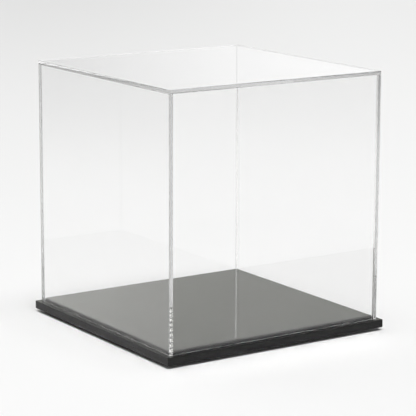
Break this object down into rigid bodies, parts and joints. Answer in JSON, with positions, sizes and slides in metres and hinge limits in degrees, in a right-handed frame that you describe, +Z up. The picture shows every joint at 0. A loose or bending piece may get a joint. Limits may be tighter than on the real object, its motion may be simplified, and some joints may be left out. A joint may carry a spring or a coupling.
{
  "type": "display cube",
  "caption": "Clear acrylic display cube: a lift-off cover of bonded sheets over a low black plinth with a raised glossy deck and rubber bumper feet.",
  "frame": {"origin": "on the table, under the middle of the plinth", "axes": "+Z up, the way the cover lifts; the front is -Y, square to the front wall that fits between the two side walls; +X is to the right seen from the front"},
  "size_m": [0.317, 0.317, 0.3245],
  "materials": {
    "clear_acrylic": "polished",
    "acrylic_cement": "gloss",
    "black_slab": "satin",
    "black_deck": "polished",
    "bonding_film": "matte",
    "foot_rubber": "matte",
    "foot_adhesive": "satin"
  },
  "bodies": {
    "base": {"base_slab": "black_slab", "deck_bonding_film": "bonding_film", "base_deck": "black_deck", "front_left_foot": "foot_rubber", "front_right_foot": "foot_rubber", "back_left_foot": "foot_rubber", "back_right_foot": "foot_rubber", "front_left_foot_pad": "foot_adhesive", "front_right_foot_pad": "foot_adhesive", "back_left_foot_pad": "foot_adhesive", "back_right_foot_pad": "foot_adhesive"},
    "cover": {"cover_top_sheet": "clear_acrylic", "cover_front_wall": "clear_acrylic", "cover_back_wall": "clear_acrylic", "cover_left_wall": "clear_acrylic", "cover_right_wall": "clear_acrylic", "front_left_corner_bond": "acrylic_cement", "front_right_corner_bond": "acrylic_cement", "back_left_corner_bond": "acrylic_cement", "back_right_corner_bond": "acrylic_cement", "front_top_bond": "acrylic_cement", "back_top_bond": "acrylic_cement", "left_top_bond": "acrylic_cement", "right_top_bond": "acrylic_cement"}
  },
  "joints": [
    {"name": "cover_lift", "type": "slide", "parent": "base", "child": "cover", "axis": [0, 0, 1], "range_m": [0, 0.32]}
  ]
}
